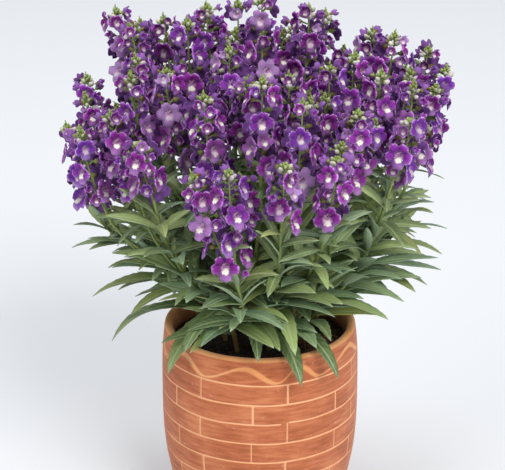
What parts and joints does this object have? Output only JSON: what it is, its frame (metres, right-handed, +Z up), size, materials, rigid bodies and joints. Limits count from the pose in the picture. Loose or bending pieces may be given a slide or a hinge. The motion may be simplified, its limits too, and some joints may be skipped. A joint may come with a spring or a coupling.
{
  "type": "potted flowering plant",
  "caption": "Summer snapdragon in bloom: leafy stems with tall spikes of violet five-lobed flowers over narrow toothed leaves, in a barrel-shaped terracotta pot.",
  "frame": {"origin": "centre of the pot's flat base, on the surface that it stands on", "axes": "+Z up along the pot's axis; -Y toward the viewer, the side that the picture shows; +X to the viewer's right"},
  "size_m": [0.2939, 0.2882, 0.416],
  "materials": {
    "terracotta": "unglazed fired clay with a thin reddish slip, matt",
    "potting_soil": "moist peat with bark crumbs, matt",
    "foliage": "soft leaf skin, satin",
    "petals": "velvety petals, matt"
  },
  "bodies": {
    "root": {"pot": "terracotta", "soil": "potting_soil", "stem_01": "foliage", "stem_02": "foliage", "stem_03": "foliage", "stem_04": "foliage", "stem_05": "foliage", "stem_06": "foliage", "stem_07": "foliage", "stem_08": "foliage", "stem_09": "foliage", "stem_10": "foliage", "stem_11": "foliage", "stem_12": "foliage", "stem_13": "foliage", "stem_14": "foliage", "stem_15": "foliage", "stem_16": "foliage", "spike_01": "petals", "spike_02": "petals", "spike_03": "petals", "spike_04": "petals", "spike_05": "petals", "spike_06": "petals", "spike_07": "petals", "spike_08": "petals", "spike_09": "petals", "spike_10": "petals", "spike_11": "petals", "spike_12": "petals", "spike_13": "petals", "spike_14": "petals", "spike_15": "petals", "spike_16": "petals", "spike_17": "petals", "spike_18": "petals", "spike_19": "petals", "spike_20": "petals", "spike_21": "petals", "spike_22": "petals", "spike_23": "petals", "spike_24": "petals", "spike_25": "petals", "spike_26": "petals", "spike_27": "petals", "spike_28": "petals", "spike_29": "petals", "spike_30": "petals", "spike_31": "petals", "spike_32": "petals", "spike_33": "petals", "spike_34": "petals", "spike_35": "petals", "spike_36": "petals", "spike_37": "petals", "spike_38": "petals", "spike_39": "petals"}
  },
  "joints": []
}
